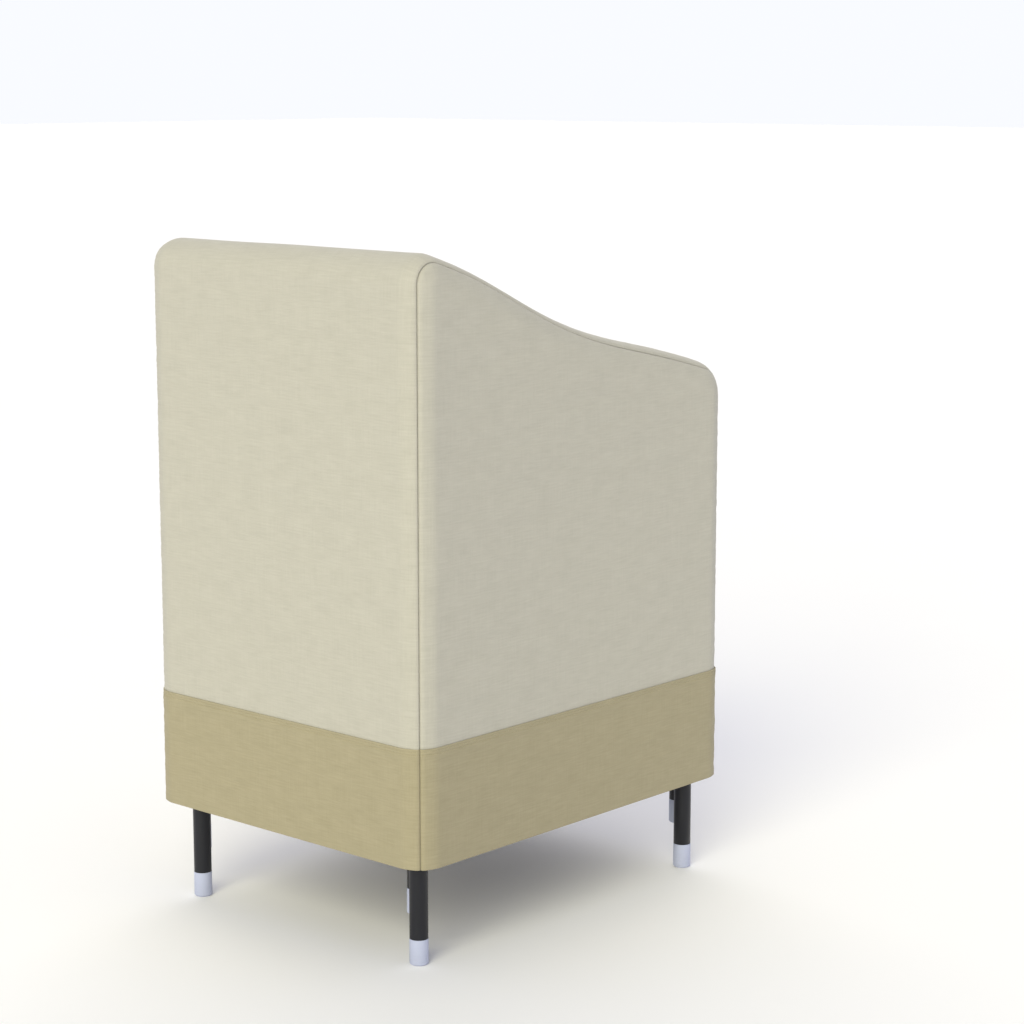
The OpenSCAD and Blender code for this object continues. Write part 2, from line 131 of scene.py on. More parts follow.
SKY_HIGH = 0.63
SKY_LOW = 1.12
world = bpy.data.worlds.new("pale_sky")
world.use_nodes = True
sky = world.node_tree
sky.nodes.clear()
direction = node(sky, "ShaderNodeTexCoord")
direction_parts = node(sky, "ShaderNodeSeparateXYZ", {0: (direction, "Generated")})
glow = node(sky, "ShaderNodeMapRange", {"Value": (direction_parts, "Z")}, {
    "From Min": 0.02, "From Max": 0.30, "To Min": SKY_LOW, "To Max": SKY_HIGH},
    interpolation_type="SMOOTHSTEP")
air = node(sky, "ShaderNodeBackground", {"Strength": (glow, "Result")}, {"Color": srgb("EDEFFF")})
node(sky, "ShaderNodeOutputWorld", {"Surface": (air, "Background")})
bpy.context.scene.world = world
bpy.context.scene.view_settings.view_transform = "Standard"

for name, azimuth, height, strength, spread, tint in (
        ("soft_key", 205.0, 30.0, 2.18, 40.0, "FFFBD8"),
        ("soft_fill", 45.0, 35.0, 1.1, 60.0, "FFFAF0")):
    lamp = bpy.data.lights.new(name, "SUN")
    lamp.energy = strength
    lamp.angle = math.radians(spread)
    lamp.color = srgb(tint)[:3]
    lamp_object = bpy.data.objects.new(name, lamp)
    lamp_object.rotation_euler = (-way_to(azimuth, height)).to_track_quat("-Z", "Y").to_euler()
    bpy.context.scene.collection.objects.link(lamp_object)


# ---- Cover: the beige panels ----
# Coated woven polyester, cut as one long panel that runs up the back, over the top and down the
# front, and two side panels cut to the chairs' outline. They are sewn inside out, so each long
# seam is a sharp valley between two puckered rolls of cloth.
MM = 0.001
CLOTH = 1.1 * MM
EDGE_R = 45 * MM
CROWN_R = 48 * MM
BROW_R = 65 * MM
TOP_START = 955.1 * MM
TOP_SLOPE = 0.1687
STEP_DROP = 55.4 * MM
STEP_AT = 246.5 * MM
STEP_LENGTH = 185.2 * MM
DROOP_FROM = 550 * MM
DROOP = 0.2623
SEAM_DEPTH = 1.8 * MM
SEAM_HALF = 1.6 * MM
ROLL_HEIGHT = 1.1 * MM
ROLL_AT = 7 * MM
ROLL_WIDE = 6 * MM
PUCKER = 0.45
PUCKER_PITCH = 24 * MM
SWELL = 1.3 * MM
CREASE = 0.45 * MM
CALM_BY_SEAM = 40 * MM

high_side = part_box("cover_side_right")[1]
low_centre, high_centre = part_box("cover_centre_panel")
hem_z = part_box("hem_band_back")[0][2]
cover_half = high_side[0]
back_y = high_centre[1]
cover_depth = high_centre[1] - low_centre[1]
cloth_foot = low_centre[2]


def top_height(v):
    """Height of the cover's top at a distance v in front of its back face: a steady fall, a smooth
    step, which is a hyperbolic tangent, from the chairs' backs down to their arms, and a
    square-law droop at the front."""
    droop = np.clip(v - DROOP_FROM, 0, None)
    return (hem_z + TOP_START - TOP_SLOPE * v - STEP_DROP * np.tanh((v - STEP_AT) / STEP_LENGTH)
            - DROOP * droop ** 2)


def top_fall(v):
    """Angle of the top's fall at v, from two points close on either side of it."""
    step = 0.1 * MM
    return np.arctan((top_height(v - step) - top_height(v + step)) / (2 * step))


def corner_meets_top(centre, radius):
    """Where a corner arc of that radius, centred at that distance, runs smoothly into the top."""
    v = centre
    for _ in range(8):
        v = centre + radius * np.sin(top_fall(v))
    return v


def side_outline(count):
    """The cover's outline seen from the side, from the back foot to the front foot, at count even
    steps of length: straight back, crown arc, the top's curve, brow arc, straight front. Gives
    columns of the distance from the back face, the height, the angle of the outward normal and
    the length from the back foot."""
    arc_steps, top_steps = 60, 400
    crown_v = corner_meets_top(CROWN_R, CROWN_R)
    brow_v = corner_meets_top(cover_depth - BROW_R, BROW_R)
    crown_z = top_height(crown_v) - CROWN_R * np.cos(top_fall(crown_v))
    brow_z = top_height(brow_v) - BROW_R * np.cos(top_fall(brow_v))
    crown = np.linspace(np.pi, np.pi / 2 - top_fall(crown_v), arc_steps)
    brow = np.linspace(np.pi / 2 - top_fall(brow_v), 0, arc_steps)
    top = np.linspace(crown_v, brow_v, top_steps)[1:-1]
    v = np.concatenate([[0], CROWN_R + CROWN_R * np.cos(crown), top,
                        cover_depth - BROW_R + BROW_R * np.cos(brow), [cover_depth]])
    z = np.concatenate([[cloth_foot], crown_z + CROWN_R * np.sin(crown), top_height(top),
                        brow_z + BROW_R * np.sin(brow), [cloth_foot]])
    a = np.concatenate([[np.pi], crown, np.pi / 2 - top_fall(top), brow, [0]])
    run = np.concatenate([[0], np.cumsum(np.hypot(np.diff(v), np.diff(z)))])
    s = np.linspace(0, run[-1], count)
    return [np.interp(s, run, line)[:, None] for line in (v, z, a)] + [s[:, None]]


def waves(u, v, pitch_u, pitch_v, count, seed):
    """A smooth wandering height of about -1 to 1: the sum of count cosines, whose pitches and
    directions are drawn around the given pitches along u and v."""
    draw = np.random.default_rng(seed)
    height = 0 * u + 0 * v
    for _ in range(count):
        turns_u, turns_v = draw.normal(0, 1 / pitch_u), draw.normal(0, 1 / pitch_v)
        height = height + np.cos(2 * np.pi * (turns_u * u + turns_v * v)
                                 + draw.uniform(0, 2 * np.pi))
    return height / math.sqrt(2 * count)


def seam_relief(to_seam, along, seed):
    """Height of the cloth beside a sewn seam: a low roll a few millimetres from it that bulges and
    dips along the seam as the stitches gather the cloth, less a narrow valley at the seam itself.
    Roll and valley are bell curves across the seam."""
    roll = np.exp(-((to_seam - ROLL_AT) / ROLL_WIDE) ** 2)
    gather = 1 + PUCKER * waves(along, 0 * along, PUCKER_PITCH, 1.0, 7, seed)
    valley = np.exp(-(to_seam / SEAM_HALF) ** 2)
    return ROLL_HEIGHT * roll * gather - SEAM_DEPTH * valley


def slack_relief(across, along, seed):
    """Height of slack cloth over its smooth shape: long soft swells, 0.8 by 0.6 m, and lower
    creases that lie across the cloth, 0.4 m long and 45 mm apart."""
    return (SWELL * waves(across, along, 0.80, 0.60, 9, seed)
            + CREASE * waves(across, along, 0.40, 0.045, 16, seed + 1))


def clear_of(distance, reach):
    """0 at an edge and nearly 1 from twice the reach away: one less a bell curve."""
    return 1 - np.exp(-(distance / reach) ** 2)


def from_seam_to_seam(count):
    """A row of count numbers from 1 to -1 that lie closer together towards both ends, where the
    seams are: one less a power of the distance from the end."""
    even = np.linspace(1, -1, count)[None, :]
    return np.sign(even) * (1 - (1 - np.abs(even)) ** 1.35)


def smooth_object(name, points, faces, material):
    """A smooth-shaded object in the scene, from an array of points and lists of their numbers."""
    mesh = bpy.data.meshes.new(name)
    mesh.from_pydata(points.reshape(-1, 3).tolist(), [], faces)
    mesh.polygons.foreach_set("use_smooth", np.ones(len(mesh.polygons), bool))
    mesh.materials.append(material)
    made = bpy.data.objects.new(name, mesh)
    bpy.context.scene.collection.objects.link(made)
    return made


def grid_mesh(name, points, uv, material, thickness=0.0, flip=False, weld=False):
    """A smooth object from a grid of points, rows by columns by 3, and of UV places in metres.
    It may be given an even inward thickness, be turned round, or be welded where points meet."""
    rows, cols = points.shape[:2]
    corner = (np.arange(rows - 1)[:, None] * cols + np.arange(cols - 1)).ravel()
    quads = np.stack([corner, corner + 1, corner + cols + 1, corner + cols], axis=1)
    if flip:
        quads = quads[:, ::-1]
    made = smooth_object(name, points, quads.tolist(), material)
    mesh = made.data
    layer = mesh.uv_layers.new(name="cloth")
    layer.data.foreach_set("uv", uv.reshape(-1, 2)[quads.ravel()].astype(np.float32).ravel())
    if weld:
        work = bmesh.new()
        work.from_mesh(mesh)
        bmesh.ops.remove_doubles(work, verts=work.verts, dist=0.01 * MM)
        bmesh.ops.dissolve_degenerate(work, edges=work.edges, dist=0.001 * MM)
        work.to_mesh(mesh)
        work.free()
    if thickness:
        wall = made.modifiers.new("thickness", "SOLIDIFY")
        wall.thickness = thickness
        wall.offset = -1.0
    return made


# A wave texture with this scale has one band to the metre.
BAND_SCALE = 0.314


def crossed_bands(tree, place, pitch, distortion):
    """A plain weave: waves across the cloth and waves down it, at one pitch, multiplied."""
    wave = {"Scale": BAND_SCALE / pitch, "Distortion": distortion, "Detail": 1.0}
    across = node(tree, "ShaderNodeTexWave", {"Vector": (place, "UV")}, wave, bands_direction="X")
    down = node(tree, "ShaderNodeTexWave", {"Vector": (place, "UV")}, wave, bands_direction="Y")
    return node(tree, "ShaderNodeMath", {0: (across, "Fac"), 1: (down, "Fac")},
                operation="MULTIPLY")


def end_material(tree, tone, first, second, relief, strength, depth, values, gloss=None):
    """Ends a material: a tone fades one colour into another, a relief is raised by a strength and
    a depth, and one surface takes both, with its own values and, if it varies, its roughness.
    Tone, relief and gloss are each a node and its output."""
    colour = node(tree, "ShaderNodeMix", {0: tone}, {6: srgb(first), 7: srgb(second)},
                  data_type="RGBA")
    bump = node(tree, "ShaderNodeBump", {"Height": relief}, {
        "Strength": strength, "Distance": depth})
    links = {"Base Color": (colour, 2), "Normal": (bump, "Normal")}
    if gloss:
        links["Roughness"] = gloss
    surface = node(tree, "ShaderNodeBsdfPrincipled", links, values)
    node(tree, "ShaderNodeOutputMaterial", {"Surface": (surface, "BSDF")})


def woven_polyester(name, light, dark):
    """Plain-woven polyester with a matt coating on the back: a dry, dull surface, faintly mottled
    in patches 46 by 26 mm, with slubs some 40 mm long lying across it and fainter streaks running
    up it. The thread is drawn at a 2.4 mm pitch, about three times coarser than the real one, so
    that the weave still shows from across a room."""
    made, tree = new_material(name)
    place = node(tree, "ShaderNodeUVMap", uv_map="cloth")
    blotch = node(tree, "ShaderNodeMapping", {"Vector": (place, "UV")}, {
        "Scale": (1 / 0.046, 1 / 0.026, 1.0)})
    mottle = node(tree, "ShaderNodeTexNoise", {"Vector": (blotch, "Vector")}, {
        "Scale": 1.0, "Detail": 4.0, "Roughness": 0.65})
    weft = node(tree, "ShaderNodeMapping", {"Vector": (place, "UV")}, {
        "Scale": (1 / 0.040, 1 / 0.0026, 1.0)})
    slub = node(tree, "ShaderNodeTexNoise", {"Vector": (weft, "Vector")}, {
        "Scale": 1.0, "Detail": 4.0, "Roughness": 0.6})
    warp = node(tree, "ShaderNodeMapping", {"Vector": (place, "UV")}, {
        "Scale": (1 / 0.0026, 1 / 0.060, 1.0)})
    ends = node(tree, "ShaderNodeTexNoise", {"Vector": (warp, "Vector")}, {
        "Scale": 1.0, "Detail": 2.0, "Roughness": 0.5})
    threads = node(tree, "ShaderNodeMath", {0: (slub, "Fac"), 1: (ends, "Fac")}, operation="ADD")
    streaks = node(tree, "ShaderNodeMath", {0: (slub, "Fac"), 2: (threads, "Value")},
                   {1: 1.5}, operation="MULTIPLY_ADD")
    cloud = node(tree, "ShaderNodeMath", {0: (mottle, "Fac"), 2: (streaks, "Value")},
                 {1: 1.5}, operation="MULTIPLY_ADD")
    shade = node(tree, "ShaderNodeMapRange", {"Value": (cloud, "Value")}, {
        "From Min": 1.85, "From Max": 3.15})
    weave = crossed_bands(tree, place, 2.4 * MM, 0.5)
    relief = node(tree, "ShaderNodeMath", {0: (weave, "Value"), 1: (threads, "Value")},
                  operation="ADD")
    end_material(tree, (shade, "Result"), dark, light, (relief, "Value"), 0.35, 0.35 * MM, {
        "Roughness": 0.82, "Specular IOR Level": 0.28, "Sheen Weight": 0.10,
        "Sheen Roughness": 0.5})
    return made


beige_polyester = woven_polyester("beige_woven_polyester", "BBB8AC", "B1AEA2")
SEAM_TURN = np.pi / 4
flat_half = cover_half - EDGE_R
seam_arc = EDGE_R * SEAM_TURN


def over_edge(v, z, a, reach, turn, height, side):
    """Points of the cover's skin. Reach is the place across the flat; then the rounded edge turns
    round by an angle, and height lifts the point along its own outward direction."""
    radius = EDGE_R + height
    inward = EDGE_R - radius * np.cos(turn)
    x = side * (reach + radius * np.sin(turn)) + 0 * v
    return np.stack([x, back_y - v + inward * np.cos(a), z - inward * np.sin(a)], axis=-1)


def near_foot(z):
    """0 at the foot of the beige cloth, where the band holds it down, and 1 from 60 mm up."""
    return clear_of(z - cloth_foot, 30 * MM)


TOP_SAG = 4 * MM
CROWN_TAUT = 160 * MM
v, z, a, s = side_outline(400)
across = (flat_half + seam_arc) * from_seam_to_seam(89)
to_seam = flat_half + seam_arc - np.abs(across)
past_crown = 1 - np.exp(-(v / CROWN_TAUT) ** 4)
sag = TOP_SAG * np.sin(a) ** 4 * past_crown * np.clip(1 - (across / flat_half) ** 2, 0, 1)
calm = clear_of(to_seam, CALM_BY_SEAM)
height = (slack_relief(across, s, 11) * calm * near_foot(z) - sag
          + seam_relief(to_seam, s, 13))
points = over_edge(v, z, a, np.minimum(np.abs(across), flat_half),
                   np.clip(np.abs(across) - flat_half, 0, None) / EDGE_R, height, np.sign(across))
centre_panel = grid_mesh("centre_panel_cloth", points,
                         np.stack([across + 0 * s, s + 0 * across], axis=-1),
                         beige_polyester, CLOTH)
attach(centre_panel, "cover")
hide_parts("cover_centre_panel")

# Each side panel runs from its seam round the edge and then inwards, to a line up its middle. Its
# UV places start a metre or more along from the other panels', so that no two share a pattern.
EDGE_COLUMNS = 15
FLAT_COLUMNS = 60
MIDDLE_V = cover_depth / 2
MIDDLE_TOP = 0.80
CROWDING = 1.25
v, z, a, s = side_outline(360)
turn = np.linspace(SEAM_TURN, np.pi / 2, EDGE_COLUMNS)[None, :]
edge_v, edge_z = v - EDGE_R * np.cos(a), z - EDGE_R * np.sin(a)
share = np.linspace(0, 1, FLAT_COLUMNS)[None, 1:] ** CROWDING
flat_v = edge_v + (MIDDLE_V - edge_v) * share
flat_z = edge_z + (np.minimum(edge_z, MIDDLE_TOP) - edge_z) * share
spread = EDGE_R * (np.pi / 2 - turn)
cut_v = np.concatenate([edge_v + spread * np.cos(a), flat_v], axis=1)
cut_z = np.concatenate([edge_z + spread * np.sin(a), flat_z], axis=1)
to_seam = np.concatenate([EDGE_R * (turn - SEAM_TURN) + 0 * s,
                          seam_arc + np.hypot(flat_v - edge_v, flat_z - edge_z)], axis=1)
calm = clear_of(to_seam, CALM_BY_SEAM)
for side, word in ((-1, "left"), (1, "right")):
    height = (slack_relief(cut_v, cut_z, 31 + side) * calm * near_foot(cut_z)
              + seam_relief(to_seam, s, 41 + side))
    edge_points = over_edge(v, z, a, flat_half, turn, height[:, :EDGE_COLUMNS], side)
    flat_height = height[:, EDGE_COLUMNS:]
    flat_points = np.stack([side * (cover_half + flat_height), back_y - flat_v, flat_z], axis=-1)
    side_panel = grid_mesh(f"side_panel_cloth_{word}",
                           np.concatenate([edge_points, flat_points], axis=1),
                           np.stack([cut_v + 2 + side, cut_z], axis=-1),
                           beige_polyester, CLOTH, flip=side > 0, weld=True)
    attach(side_panel, "cover")
    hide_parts(f"cover_side_{word}")


# ---- Cover: the khaki hem band ----
# Four panels of the same cloth in khaki, joined at the upright corner seams. Their upper edge is
# turned in and sewn over the beige cloth with two rows of lockstitch, and the hem is turned up
# inside.
BAND_CLOTH = 0.9 * MM
BAND_TURN = 0.95 * MM
TURNED_IN = 19 * MM
TURNED_IN_PROUD = 0.30 * MM
STITCH_ROWS = (4.5 * MM, 9.5 * MM)
STITCH_PITCH = 3.2 * MM
STITCH_LENGTH = 2.3 * MM
STITCH_PULL = 0.45 * MM
PULL_WIDE = 0.9 * MM
THREAD = 0.32 * MM

high_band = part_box("hem_band_right")[1]
band_proud = high_band[0] - cover_half
band_top = high_band[2]
cover_middle_y = back_y - cover_depth / 2


def band_half(quarter):
    """Half the width of a band panel's straight part, and the reach of the face it lies on."""
    wide, deep = cover_half - EDGE_R, cover_depth / 2 - EDGE_R
    return (wide, deep) if quarter % 2 == 0 else (deep, wide)


def to_corner_seam(quarter):
    """Length of a band panel from its middle, along its face and round to its corner seam."""
    return band_half(quarter)[0] + (EDGE_R + band_proud) * SEAM_TURN


def soft_step(distance, blend):
    """1 inside an edge and 0 outside it, with the blend's width between: half of one less a
    hyperbolic tangent."""
    return 0.5 - 0.5 * np.tanh(distance / (2 * blend))


def round_cover(quarter, u, z, height):
    """Points round the cover: u runs along one side of its round-cornered plan, over an eighth of
    a turn of the corner at each end, and height stands out from the beige cloth. The quarters
    are the back, the left, the front and the right."""
    along, out = band_half(quarter)
    turn = np.clip(np.abs(u) - along, 0, None) / (EDGE_R + band_proud)
    p = np.sign(u) * (np.minimum(np.abs(u), along) + (EDGE_R + height) * np.sin(turn))
    q = out + (EDGE_R + height) * np.cos(turn) + 0 * z
    p = p + 0 * q
    cos, sin = ((1, 0), (0, 1), (-1, 0), (0, -1))[quarter]
    return np.stack([p * cos - q * sin, cover_middle_y + p * sin + q * cos, z + 0 * q], axis=-1)


def spindles(name, starts, ends, outward, thickness, material):
    """Stitches: a thread lies between each start and end, as rings of five points that are thin
    where it enters the cloth and stand proud in the middle."""
    count, rings, sides = len(starts), 4, 5
    t = np.linspace(0, 1, rings)[None, :, None]
    middle = starts[:, None] * (1 - t) + ends[:, None] * t
    middle = middle + outward[:, None] * (0.9 * thickness * np.sin(np.pi * t) ** 0.5)
    along = (ends - starts) / np.linalg.norm(ends - starts, axis=1)[:, None]
    beside = np.cross(along, outward)
    angle = np.linspace(0, 2 * np.pi, sides, endpoint=False)[None, None, :, None]
    width = thickness * (0.45 + 0.55 * np.sin(np.pi * t[..., None]))
    ring = middle[:, :, None] + width * (np.cos(angle) * outward[:, None, None]
                                         + np.sin(angle) * beside[:, None, None])
    first = (np.arange(count) * rings * sides)[:, None, None]
    row = np.arange(rings - 1)[None, :, None] * sides
    k = np.arange(sides)[None, None, :]
    after = (k + 1) % sides
    quads = np.stack([first + row + k, first + row + after, first + row + sides + after,
                      first + row + sides + k], axis=-1).reshape(-1, 4)
    caps = np.concatenate([(first + k)[..., ::-1].reshape(-1, sides),
                           (first + (rings - 1) * sides + k).reshape(-1, sides)])
    return smooth_object(name, ring, quads.tolist() + caps.tolist(), material)


def sewing_thread(name, light, dark):
    """Spun polyester thread: dull, a little paler than the cloth, with its two plies showing as a
    fine diagonal, drawn at 1 mm."""
    made, tree = new_material(name)
    place = node(tree, "ShaderNodeTexCoord")
    tilt = node(tree, "ShaderNodeMapping", {"Vector": (place, "Object")}, {
        "Rotation": (0.6, 0.6, 0.6)})
    ply = node(tree, "ShaderNodeTexWave", {"Vector": (tilt, "Vector")}, {
        "Scale": BAND_SCALE / (1.0 * MM), "Distortion": 0.8})
    end_material(tree, (ply, "Fac"), dark, light, (ply, "Fac"), 0.4, 0.1 * MM, {
        "Roughness": 0.6, "Sheen Weight": 0.15})
    return made


khaki_polyester = woven_polyester("khaki_woven_polyester", "A59C81", "9A9277")
khaki_thread = sewing_thread("khaki_thread", "C2B894", "A09671")

# The band's section, as heights and distances out from the beige cloth: the rounded hem, the plain
# face, the face that is sewn, in finer steps, and the rounded upper edge.
bend = np.linspace(0, np.pi / 2, 6)
bend_rise = BAND_TURN * (1 - np.cos(bend))
bend_out = band_proud - BAND_TURN + BAND_TURN * np.sin(bend)
rise_plain = np.arange(hem_z + 4 * MM, band_top - 24 * MM, 4 * MM)
rise_sewn = np.arange(band_top - 23 * MM, band_top - 1.5 * MM, 0.7 * MM)
profile_z = np.concatenate([hem_z + bend_rise, rise_plain, rise_sewn,
                            band_top - bend_rise[::-1]])[:, None]
profile_out = np.concatenate([bend_out, 0 * rise_plain + band_proud, 0 * rise_sewn + band_proud,
                              bend_out[::-1]])[:, None]
below_top = band_top - profile_z
sewn = sum(-STITCH_PULL * np.exp(-((below_top - row) / PULL_WIDE) ** 2) for row in STITCH_ROWS)
doubled = TURNED_IN_PROUD * soft_step(below_top - TURNED_IN, 0.5 * MM)

for quarter, word in enumerate(("back", "left", "front", "right")):
    half_length = to_corner_seam(quarter)
    u = half_length * from_seam_to_seam(121)
    to_seam = half_length - np.abs(u)
    calm = (clear_of(to_seam, CALM_BY_SEAM) * clear_of(below_top, 50 * MM)
            * clear_of(profile_z - hem_z, 25 * MM))
    height = (profile_out + (sewn + doubled) * (profile_out / band_proud) ** 4
              + slack_relief(u, profile_z, 51 + quarter) * calm
              + seam_relief(to_seam, profile_z, 61 + quarter))
    band = grid_mesh(f"hem_band_cloth_{word}", round_cover(quarter, u, profile_z, height),
                     np.stack([u + quarter + 0 * profile_z, profile_z + 0 * u], axis=-1),
                     khaki_polyester, BAND_CLOTH)
    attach(band, "cover")
    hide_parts(f"hem_band_{word}")
    place = np.arange(-half_length + 4 * MM, half_length - 6 * MM, STITCH_PITCH)
    middle = place + 1.1 * MM
    starts, ends, outward = [], [], []
    for row in STITCH_ROWS:
        level = np.full(len(place), band_top - row)
        proud = band_proud - 0.05 * MM + seam_relief(
            half_length - np.abs(place), level, 61 + quarter)
        starts.append(round_cover(quarter, place, level, proud))
        ends.append(round_cover(quarter, place + STITCH_LENGTH, level, proud))
        outward.append(round_cover(quarter, middle, level, proud + MM)
                       - round_cover(quarter, middle, level, proud))
    outward = np.concatenate(outward)
    outward /= np.linalg.norm(outward, axis=1)[:, None]
    stitches = spindles(f"hem_band_stitches_{word}", np.concatenate(starts), np.concatenate(ends),
                        outward, THREAD, khaki_thread)
    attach(stitches, "cover")


# ---- Cover: the turned-up hem and the seam tapes ----
# Inside the hem the khaki cloth is turned up 25 mm and sewn down. A narrow folded tape binds the
# raw edges inside each long seam.
FOLD_CLOTH = 1.0 * MM
rise = np.array([0.4, 1.2, 6.0, 12.0, 18.0, 23.0, 24.4, 25.0])[:, None] * MM
inset = np.array([-0.9, -0.35, -0.3, -0.3, -0.3, -0.3, -0.4, -0.9])[:, None] * MM
laps = []
for quarter in range(4):
    half_length = to_corner_seam(quarter)
    u = np.linspace(half_length, -half_length, 61)[None, :]
    laps.append(round_cover(quarter, u, hem_z + rise, inset + 0 * u))
hem_round = np.concatenate(laps, axis=1)
run = np.cumsum(np.concatenate([[0], np.linalg.norm(np.diff(hem_round[0], axis=0), axis=1)]))
hem_fold = grid_mesh("hem_fold_cloth", hem_round,
                     np.stack([run[None, :] + 0 * rise, rise + 0 * run[None, :]], axis=-1),
                     khaki_polyester, FOLD_CLOTH, weld=True)
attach(hem_fold, "cover")
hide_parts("hem_fold")


def folded_tape(name, light, dark):
    """Woven polyester tape: a fine ribbed ribbon, the ribs drawn at 2 mm across its length."""
    made, tree = new_material(name)
    place = node(tree, "ShaderNodeUVMap", uv_map="cloth")
    ribs = node(tree, "ShaderNodeTexWave", {"Vector": (place, "UV")}, {
        "Scale": BAND_SCALE / (2 * MM), "Distortion": 0.3}, bands_direction="X")
    mottle = node(tree, "ShaderNodeTexNoise", {"Vector": (place, "UV")}, {
        "Scale": 60.0, "Detail": 3.0})
    mixed = node(tree, "ShaderNodeMath", {0: (ribs, "Fac"), 1: (mottle, "Fac")},
                 operation="MULTIPLY")
    end_material(tree, (mixed, "Value"), dark, light, (ribs, "Fac"), 0.5, 0.25 * MM, {
        "Roughness": 0.62, "Sheen Weight": 0.12, "Specular IOR Level": 0.4})
    return made


def squared(wave, power):
    """A sine or cosine raised to a power below one, with its sign kept, which squares a circle."""
    return np.sign(wave) * np.abs(wave) ** power


seam_tape = folded_tape("seam_tape", "9D9880", "857F68")
TAPE_DEEP = 4 * MM
TAPE_HALF = 0.8 * MM
TAPE_IN = 2.6 * MM
v, z, a, s = side_outline(300)
round_tape = np.linspace(0, 2 * np.pi, 13)[None, :]
lean = TAPE_HALF * squared(np.cos(round_tape), 0.5)
deep = TAPE_IN + TAPE_DEEP / 2 * (1 - squared(np.sin(round_tape), 0.5))
for side, word in ((-1, "left"), (1, "right")):
    r = EDGE_R - deep
    inward = EDGE_R - r * np.cos(SEAM_TURN) + lean * np.sin(SEAM_TURN)
    x = side * (flat_half + r * np.sin(SEAM_TURN) + lean * np.cos(SEAM_TURN)) + 0 * v
    points = np.stack([x, back_y - v + inward * np.cos(a), z - inward * np.sin(a)], axis=-1)
    ends = points[[0, -1]].mean(axis=1, keepdims=True) + 0 * points[[0, -1]]
    points = np.concatenate([ends[:1], points, ends[1:]])
    length = np.concatenate([s[:1], s, s[-1:]])
    tape = grid_mesh(f"seam_tape_{word}", points,
                     np.stack([length + 0 * round_tape, 0 * length + round_tape / 500], axis=-1),
                     seam_tape, flip=side < 0, weld=True)
    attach(tape, "cover")
    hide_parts(f"seam_binding_{word}")


# ---- Cover: the webbing and its buckle ----
# Two lengths of 25 mm black polypropylene webbing, sewn to the front of the band at their outer
# ends and held by two loops, meet in a moulded acetal side-release buckle.
def black_webbing(name):
    """Polypropylene webbing: a fairly shiny, ribbed weave. Its ribs run along the strap, 1.8 mm
    apart, and its picks across it, 2.2 mm apart."""
    made, tree = new_material(name)
    place = node(tree, "ShaderNodeUVMap", uv_map="cloth")
    ribs = node(tree, "ShaderNodeTexWave", {"Vector": (place, "UV")}, {
        "Scale": BAND_SCALE / (1.8 * MM), "Distortion": 0.2}, bands_direction="Y")
    picks = node(tree, "ShaderNodeTexWave", {"Vector": (place, "UV")}, {
        "Scale": BAND_SCALE / (2.2 * MM), "Distortion": 0.4}, bands_direction="X")
    weave = node(tree, "ShaderNodeMath", {0: (ribs, "Fac"), 1: (picks, "Fac")},
                 operation="MULTIPLY")
    end_material(tree, (weave, "Value"), "101012", "34343A", (weave, "Value"), 0.6, 0.3 * MM, {
        "Roughness": 0.48, "Sheen Weight": 0.1, "Specular IOR Level": 0.5})
    return made


def moulded_black(name, dark, light, roughness, grain):
    """Injection-moulded plastic, spark-eroded in the tool: an even black with a fine grain, which
    is drawn at the given size in metres, and dulled a little where hands and feet rub it."""
    made, tree = new_material(name)
    place = node(tree, "ShaderNodeTexCoord")
    fine = node(tree, "ShaderNodeTexNoise", {"Vector": (place, "Object")}, {
        "Scale": 1 / grain, "Detail": 2.0})
    worn = node(tree, "ShaderNodeTexNoise", {"Vector": (place, "Object")}, {
        "Scale": 1 / 0.03, "Detail": 4.0, "Roughness": 0.6})
    gloss = node(tree, "ShaderNodeMapRange", {"Value": (worn, "Fac")}, {
        "From Min": 0.3, "From Max": 0.7, "To Min": roughness - 0.06, "To Max": roughness + 0.06})
    end_material(tree, (worn, "Fac"), dark, light, (fine, "Fac"), 0.25, 0.15 * MM, {"IOR": 1.48},
                 gloss=(gloss, "Result"))
    return made


def finish_cad(name, material):
    """Gives a CAD node its material and smooth shading: its loose triangles are joined by a Weld
    modifier and split again at edges sharper than 35 degrees, and its own mesh stays as it is."""
    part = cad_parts[name]
    part.data.materials.clear()
    part.data.materials.append(material)
    part.data.polygons.foreach_set("use_smooth", np.ones(len(part.data.polygons), bool))
    join = part.modifiers.new("join", "WELD")
    join.merge_threshold = 0.01 * MM
    crease = part.modifiers.new("crease", "EDGE_SPLIT")
    crease.split_angle = math.radians(35)


